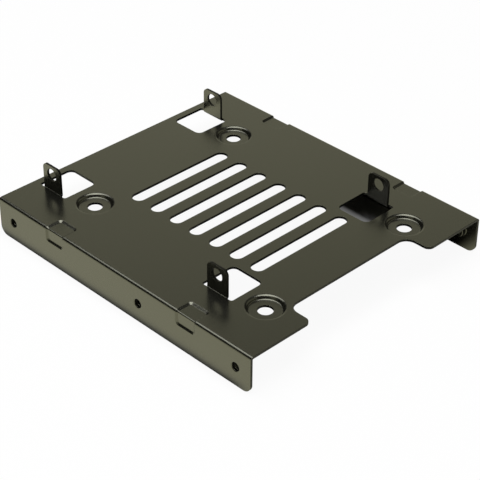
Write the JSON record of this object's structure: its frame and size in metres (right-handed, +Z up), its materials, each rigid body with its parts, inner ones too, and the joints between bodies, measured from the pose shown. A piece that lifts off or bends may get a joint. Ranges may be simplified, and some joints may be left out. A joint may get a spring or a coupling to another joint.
{
  "type": "drive bay adapter bracket",
  "caption": "Folded sheet bracket that carries small drives above and below its slotted plate inside a larger drive bay.",
  "frame": {"origin": "middle of the bounding box's underside, level with the lower edges of both flanges", "axes": "+X along the flanges, towards the notched end; +Y across the plate; +Z up, from the flanges' lower edges towards the ears"},
  "size_m": [0.1146, 0.1016, 0.0224],
  "materials": {
    "bracket": "semi-gloss black coating on steel sheet"
  },
  "bodies": {
    "root": {"bracket": "bracket"}
  },
  "joints": []
}
